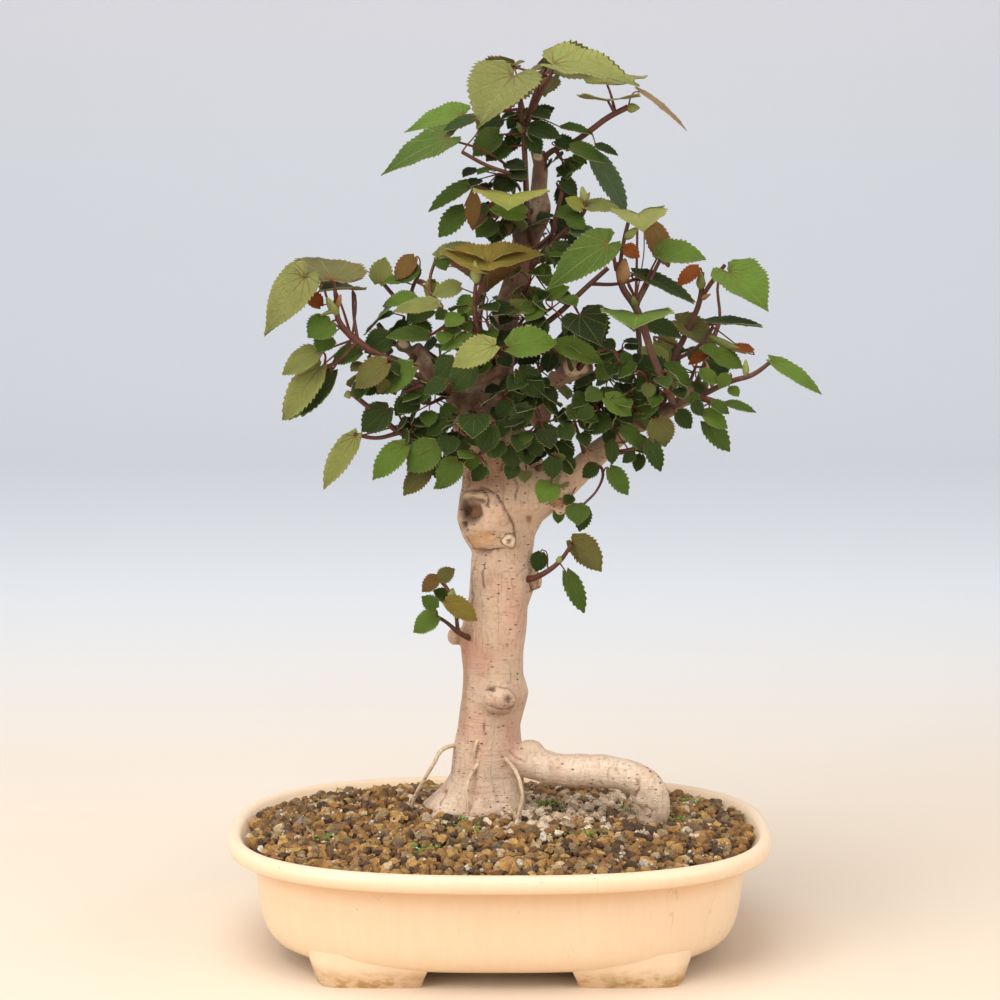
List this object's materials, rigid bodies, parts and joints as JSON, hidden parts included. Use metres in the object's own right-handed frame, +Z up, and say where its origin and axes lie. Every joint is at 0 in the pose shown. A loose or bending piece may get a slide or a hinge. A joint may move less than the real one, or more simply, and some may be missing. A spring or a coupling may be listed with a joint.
{
  "type": "potted bonsai tree",
  "caption": "Small bonsai tree with heart-shaped toothed leaves, a pale knotted trunk and an arching root, in a glazed oval pot with feet.",
  "frame": {"origin": "middle of the whole outline seen from above, on the surface the pot's feet stand on", "axes": "+Z up, +X along the pot's length to the viewer's right, +Y away from the viewer"},
  "size_m": [0.3492, 0.243, 0.5412],
  "materials": {
    "pot_glaze": "warm cream glaze, gloss",
    "screen": "woven plastic mesh",
    "soil_grit": "fired clay grit and pumice",
    "bark": "pale pinkish bark",
    "leaf_light": "light green leaf",
    "leaf_mid": "green leaf",
    "leaf_dark": "dark green leaf",
    "leaf_olive": "olive and bronze leaf"
  },
  "bodies": {
    "root": {"pot": "pot_glaze", "drain_screen_left": "screen", "drain_screen_right": "screen", "soil": "soil_grit", "tree": "bark", "shoot_leader": "leaf_light", "shoot_top_right": "leaf_mid", "shoot_upper_left": "leaf_mid", "shoot_upper_right": "leaf_mid", "shoot_right_long": "leaf_light", "shoot_right_tall": "leaf_light", "shoot_right_end": "leaf_mid", "shoot_limb_under": "leaf_mid", "shoot_fork": "leaf_mid", "shoot_limb_top": "leaf_mid", "shoot_limb_bend": "leaf_dark", "shoot_centre_top": "leaf_light", "shoot_knot": "leaf_mid", "shoot_centre_right": "leaf_dark", "shoot_centre_left": "leaf_dark", "shoot_low_left": "leaf_mid", "shoot_left_long": "leaf_olive", "shoot_left_upper": "leaf_mid", "shoot_left_high": "leaf_olive", "shoot_left_middle": "leaf_dark", "shoot_trunk_left": "leaf_olive", "shoot_trunk_right": "leaf_olive", "shoot_back_top": "leaf_mid", "shoot_back_left": "leaf_mid", "shoot_back_low": "leaf_mid", "shoot_back_middle": "leaf_mid", "shoot_back_high": "leaf_mid", "shoot_back_right": "leaf_mid", "shoot_back_end": "leaf_mid", "shoot_back_centre": "leaf_mid"}
  },
  "joints": []
}
